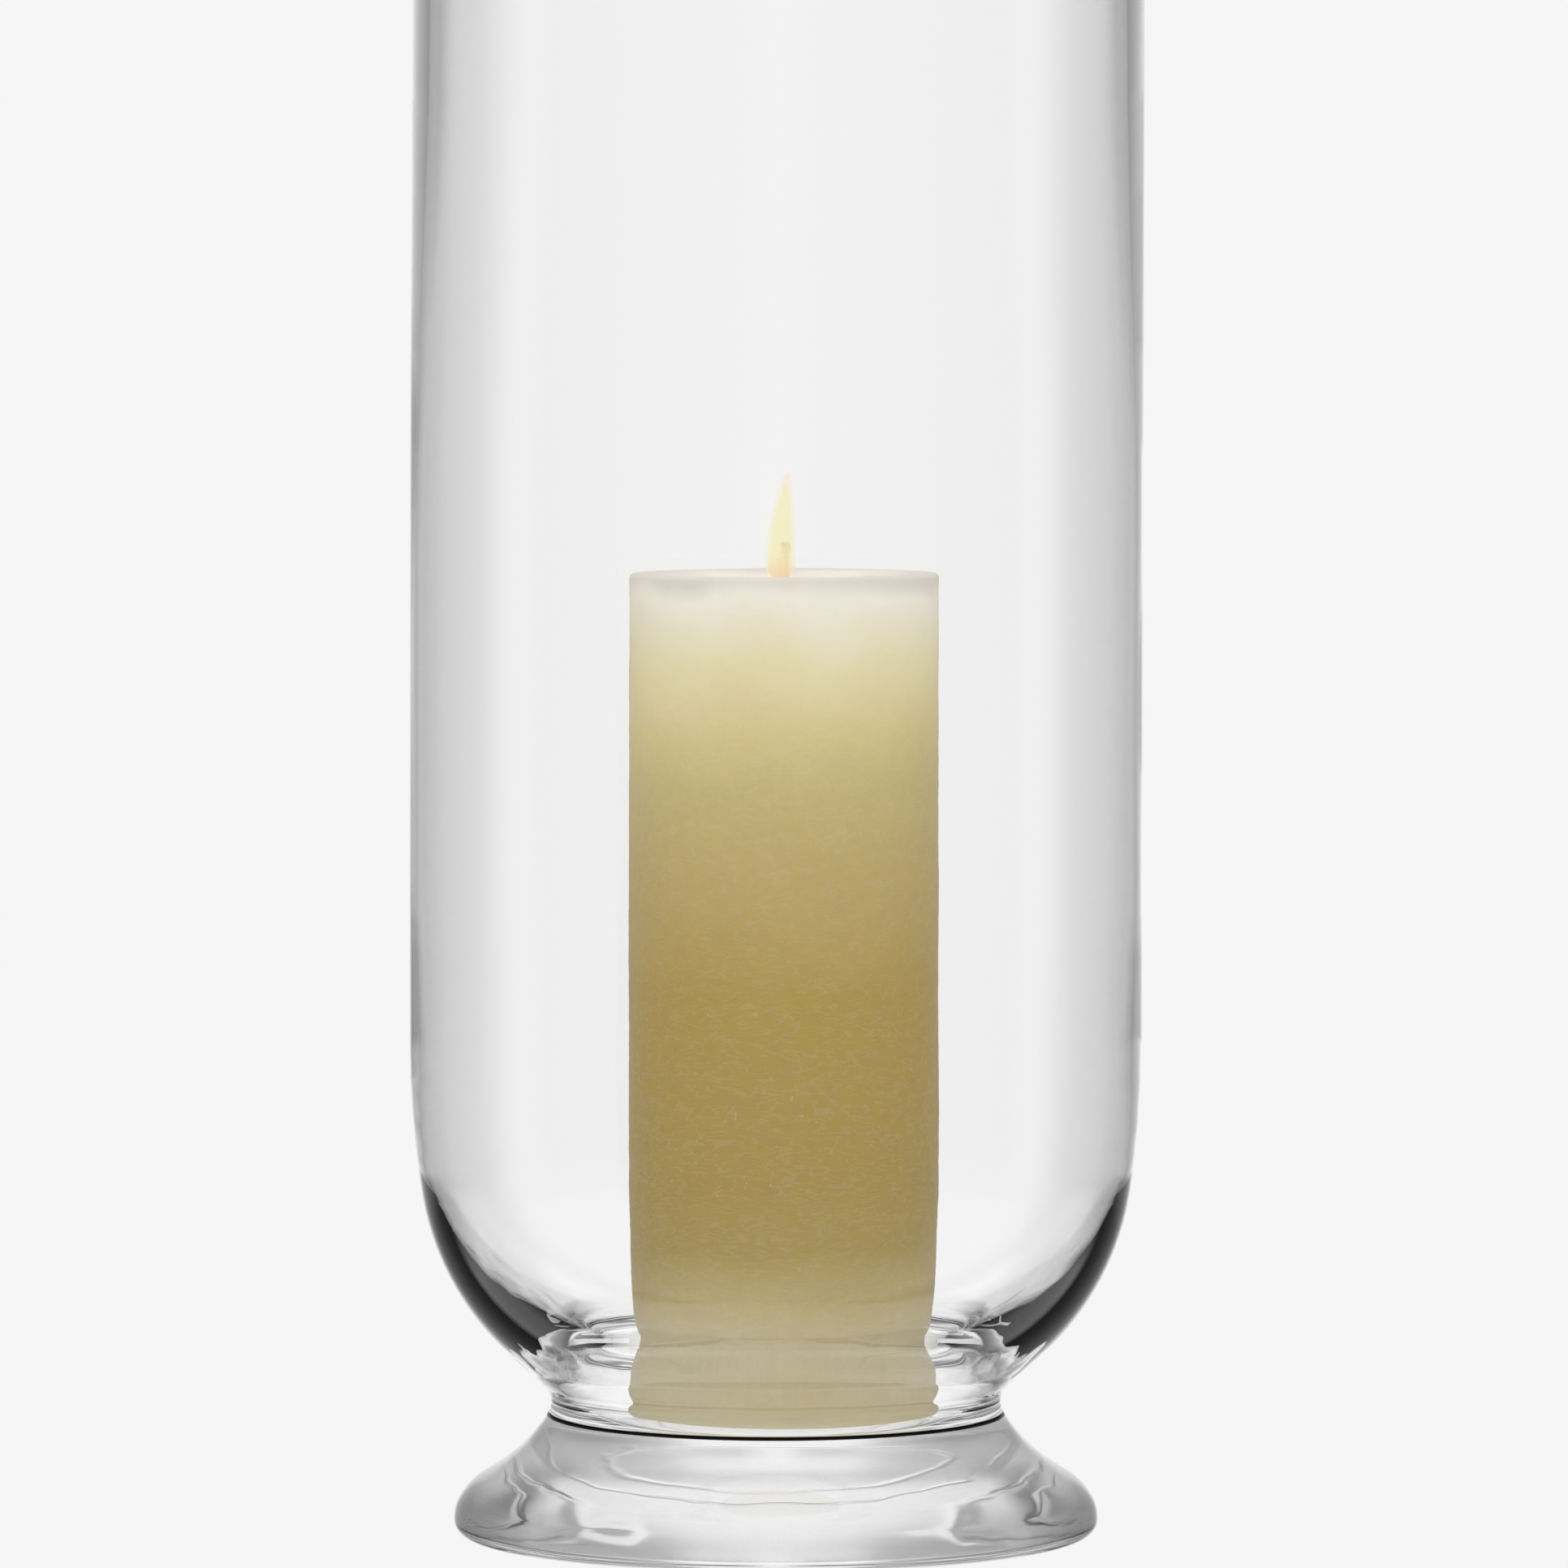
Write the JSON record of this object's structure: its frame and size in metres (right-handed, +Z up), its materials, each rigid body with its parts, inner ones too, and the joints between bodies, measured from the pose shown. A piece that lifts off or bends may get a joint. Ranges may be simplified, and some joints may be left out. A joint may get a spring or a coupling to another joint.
{
  "type": "hurricane candle lantern",
  "caption": "Tall clear glass hurricane lantern: a straight blown vessel with a heavy rounded bowl, a flared solid glass foot and a loose ivory pillar candle.",
  "frame": {"origin": "centre of the foot's resting face, at the middle of the bottom of the box", "axes": "+Z up along the glass's axis, towards the rim"},
  "size_m": [0.1884, 0.1884, 0.45],
  "materials": {
    "vessel_glass": "clear polished",
    "foot_glass": "clear polished",
    "wax": "frosted satin",
    "cotton": "braided cotton",
    "tinned_steel": "tinned"
  },
  "bodies": {
    "lantern_glass": {"glass_cylinder": "vessel_glass", "glass_foot": "foot_glass"},
    "candle": {"candle_wax": "wax", "wick": "cotton", "wick_sustainer": "tinned_steel"}
  },
  "joints": [
    {"name": "candle_lift", "type": "slide", "parent": "lantern_glass", "child": "candle", "axis": [0, 0, 1], "range_m": [0, 0.43]}
  ]
}
